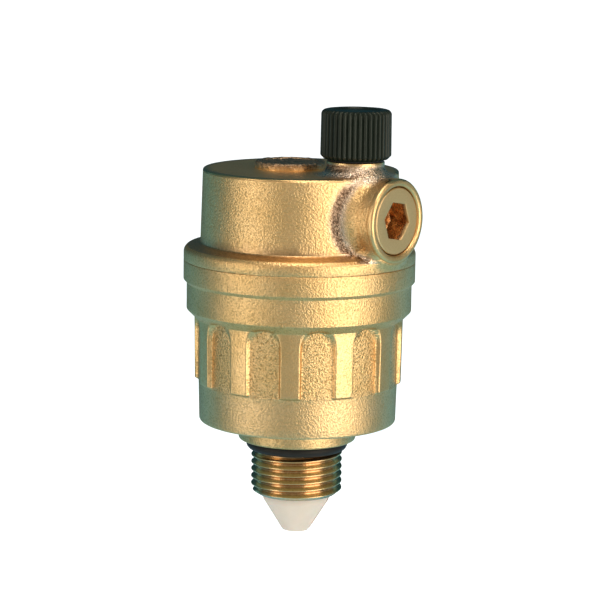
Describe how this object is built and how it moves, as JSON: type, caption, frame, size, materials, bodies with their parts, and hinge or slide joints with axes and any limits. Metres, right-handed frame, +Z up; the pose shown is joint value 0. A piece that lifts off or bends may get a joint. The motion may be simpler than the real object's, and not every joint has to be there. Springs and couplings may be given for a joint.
{
  "type": "automatic air vent",
  "caption": "Float-operated automatic air vent: brass housing with screwed cover, bottom inlet thread with O-ring, plugged side boss and screw cap on the outlet nipple.",
  "frame": {"origin": "on the housing's axis, at the upper end of the inlet thread", "axes": "+Z up along the housing's axis from inlet to cover, +X along the side boss, out of its mouth"},
  "size_m": [0.0432, 0.042, 0.0783],
  "materials": {
    "cast_brass": "fine sand-blasted brass, turned on the threads",
    "turned_brass": "turned brass",
    "plug_brass": "matte pressed brass",
    "stainless_steel": "brushed stainless steel",
    "seal_rubber": "matte black rubber",
    "pad_rubber": "matte dark elastomer",
    "gasket_fibre": "pressed red fibre",
    "cap_plastic": "moulded black plastic, fine matte grain",
    "float_plastic": "white moulded plastic"
  },
  "bodies": {
    "housing": {"body": "cast_brass", "cover": "cast_brass", "cover_seal": "seal_rubber", "inlet_o_ring": "seal_rubber", "pivot_bracket": "stainless_steel", "pivot_pin": "stainless_steel", "pin_clips": "stainless_steel", "valve_seat": "turned_brass", "seat_gasket": "gasket_fibre", "side_plug": "plug_brass", "plug_o_ring": "seal_rubber", "cap_washer": "seal_rubber"},
    "float": {"float_bell": "float_plastic", "float_tail": "float_plastic", "float_pin": "stainless_steel"},
    "valve_lever": {"lever": "stainless_steel", "valve_pad": "pad_rubber", "lever_pin": "stainless_steel"},
    "link": {"float_link": "stainless_steel"},
    "cap_disc": {"cap_liner": "pad_rubber"},
    "cap": {"vent_cap": "cap_plastic"}
  },
  "joints": [
    {"name": "float_slide", "type": "slide", "parent": "housing", "child": "float", "axis": [0, 0, 1], "range_m": [0, 0.004]},
    {"name": "lever_pivot", "type": "hinge", "parent": "housing", "child": "valve_lever", "pos_m": [0.0048, 0, 0.0423], "axis": [0, 1, 0], "range_deg": [0, 21]},
    {"name": "link_pivot", "type": "hinge", "parent": "valve_lever", "child": "link", "pos_m": [-0.00602, 0, 0.0403], "axis": [0, 1, 0], "range_deg": [-21, 0]},
    {"name": "cap_lift", "type": "slide", "parent": "housing", "child": "cap_disc", "axis": [0, 0, 1], "range_m": [0, 0.005]},
    {"name": "cap_turn", "type": "hinge", "parent": "cap_disc", "child": "cap", "pos_m": [0.01245, 0, 0.0555], "axis": [0, 0, 1], "range_deg": [0, 1800]}
  ],
  "couplings": [
    {"joint": "lever_pivot", "follows": "float_slide", "rad_per_m": 91.418},
    {"joint": "link_pivot", "follows": "float_slide", "rad_per_m": -91.418},
    {"joint": "cap_turn", "follows": "cap_lift", "rad_per_m": 6283.1}
  ]
}
